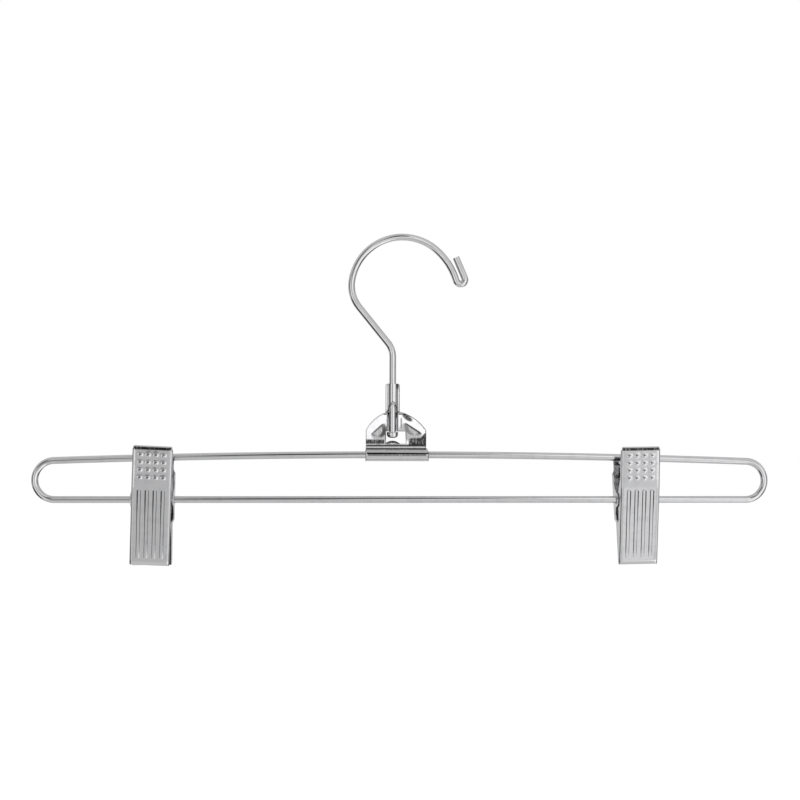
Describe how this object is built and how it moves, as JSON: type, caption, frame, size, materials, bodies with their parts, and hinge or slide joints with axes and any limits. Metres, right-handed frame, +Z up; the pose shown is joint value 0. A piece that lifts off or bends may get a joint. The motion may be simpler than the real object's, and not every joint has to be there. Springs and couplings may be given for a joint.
{
  "type": "trouser hanger",
  "caption": "Chrome wire trouser hanger: a closed bowed frame, a swivel hook in a folded sheet bracket, and sprung sheet-metal clips that slide on the lower wire.",
  "frame": {"origin": "the highest inside point of the hook, where it bears on the rail; the hanger hangs below it", "axes": "+X to the right along the frame, +Y towards the back, +Z up; the front is seen from -Y"},
  "size_m": [0.3556, 0.0233, 0.16],
  "materials": {
    "wire": "bright chrome plate on drawn steel wire",
    "bracket_sheet": "bright chrome plate on folded steel sheet",
    "jaw_sheet": "bright plate on stamped steel sheet",
    "spring_steel": "plated spring steel strip"
  },
  "bodies": {
    "hook": {"hook": "wire"},
    "frame": {"frame_wire": "wire", "hook_bracket": "bracket_sheet"},
    "left_clip": {"left_spring": "spring_steel"},
    "left_front": {"left_front_jaw": "jaw_sheet"},
    "left_back": {"left_back_jaw": "jaw_sheet"},
    "right_clip": {"right_spring": "spring_steel"},
    "right_front": {"right_front_jaw": "jaw_sheet"},
    "right_back": {"right_back_jaw": "jaw_sheet"}
  },
  "joints": [
    {"name": "hook_swivel", "type": "hinge", "parent": "hook", "child": "frame", "pos_m": [-0.0047, 0, -0.08], "axis": [0, 0, 1], "continuous": true},
    {"name": "left_clip_slide", "type": "slide", "parent": "frame", "child": "left_clip", "axis": [1, 0, 0], "range_m": [-0.0355, 0.09]},
    {"name": "left_front_open", "type": "hinge", "parent": "left_clip", "child": "left_front", "pos_m": [-0.1194, 0, -0.12485], "axis": [-1, 0, 0], "range_deg": [0, 18], "stiffness_Nm_per_rad": 0.6, "springref_deg": -5.73, "deforming": ["left_spring"]},
    {"name": "left_back_open", "type": "hinge", "parent": "left_clip", "child": "left_back", "pos_m": [-0.1194, 0, -0.12485], "axis": [1, 0, 0], "range_deg": [0, 18], "stiffness_Nm_per_rad": 0.6, "springref_deg": -5.73},
    {"name": "right_clip_slide", "type": "slide", "parent": "frame", "child": "right_clip", "axis": [1, 0, 0], "range_m": [-0.091, 0.0427]},
    {"name": "right_front_open", "type": "hinge", "parent": "right_clip", "child": "right_front", "pos_m": [0.1144, 0, -0.12485], "axis": [-1, 0, 0], "range_deg": [0, 18], "stiffness_Nm_per_rad": 0.6, "springref_deg": -5.73, "deforming": ["right_spring"]},
    {"name": "right_back_open", "type": "hinge", "parent": "right_clip", "child": "right_back", "pos_m": [0.1144, 0, -0.12485], "axis": [1, 0, 0], "range_deg": [0, 18], "stiffness_Nm_per_rad": 0.6, "springref_deg": -5.73}
  ],
  "couplings": [
    {"joint": "left_back_open", "follows": "left_front_open", "ratio": 1},
    {"joint": "right_back_open", "follows": "right_front_open", "ratio": 1}
  ]
}
